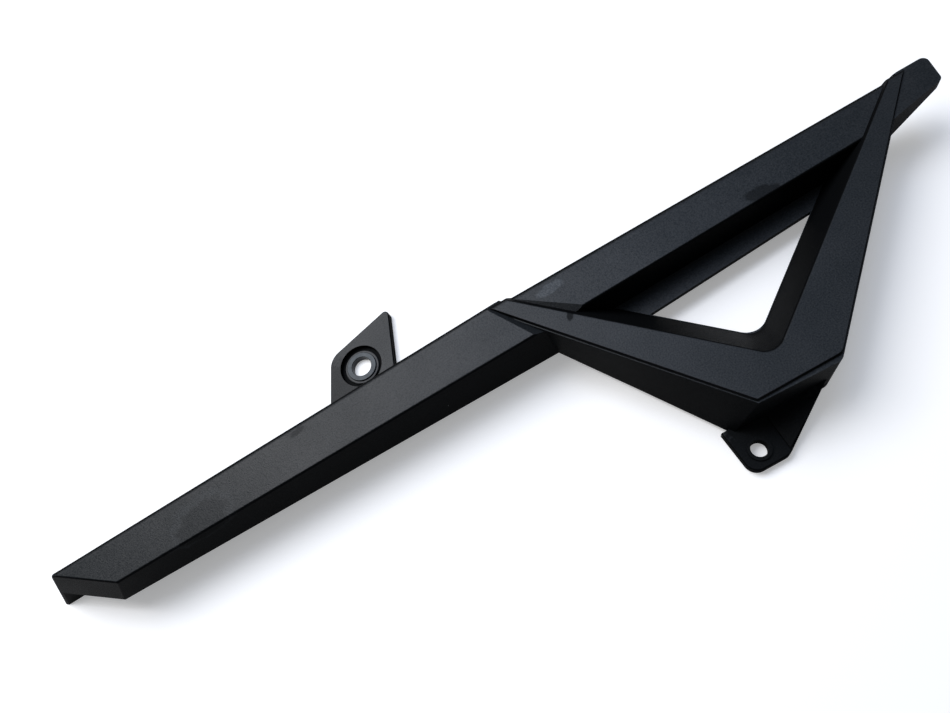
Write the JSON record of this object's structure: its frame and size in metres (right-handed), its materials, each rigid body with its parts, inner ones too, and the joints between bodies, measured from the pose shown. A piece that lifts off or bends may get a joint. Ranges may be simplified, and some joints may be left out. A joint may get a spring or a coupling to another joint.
{
  "type": "motorcycle chain guard",
  "caption": "Moulded plastic cover for a motorcycle's drive chain: a long hollow beam with a triangular window framed by raised arms and two bolt ears.",
  "frame": {"origin": "axis of the front bolt on the mounting plane, which is the underside of both ears", "axes": "+X along the beam to the rear, +Y from the beam towards the front ear, +Z outward through the visible face"},
  "size_m": [0.4367, 0.1461, 0.03],
  "materials": {
    "textured_plastic": "black, fine moulded grain, satin",
    "grommet_rubber": "black, matt",
    "collar_steel": "zinc plated, satin"
  },
  "bodies": {
    "root": {"chain_guard": "textured_plastic", "front_grommet": "grommet_rubber", "front_collar": "collar_steel"}
  },
  "joints": []
}
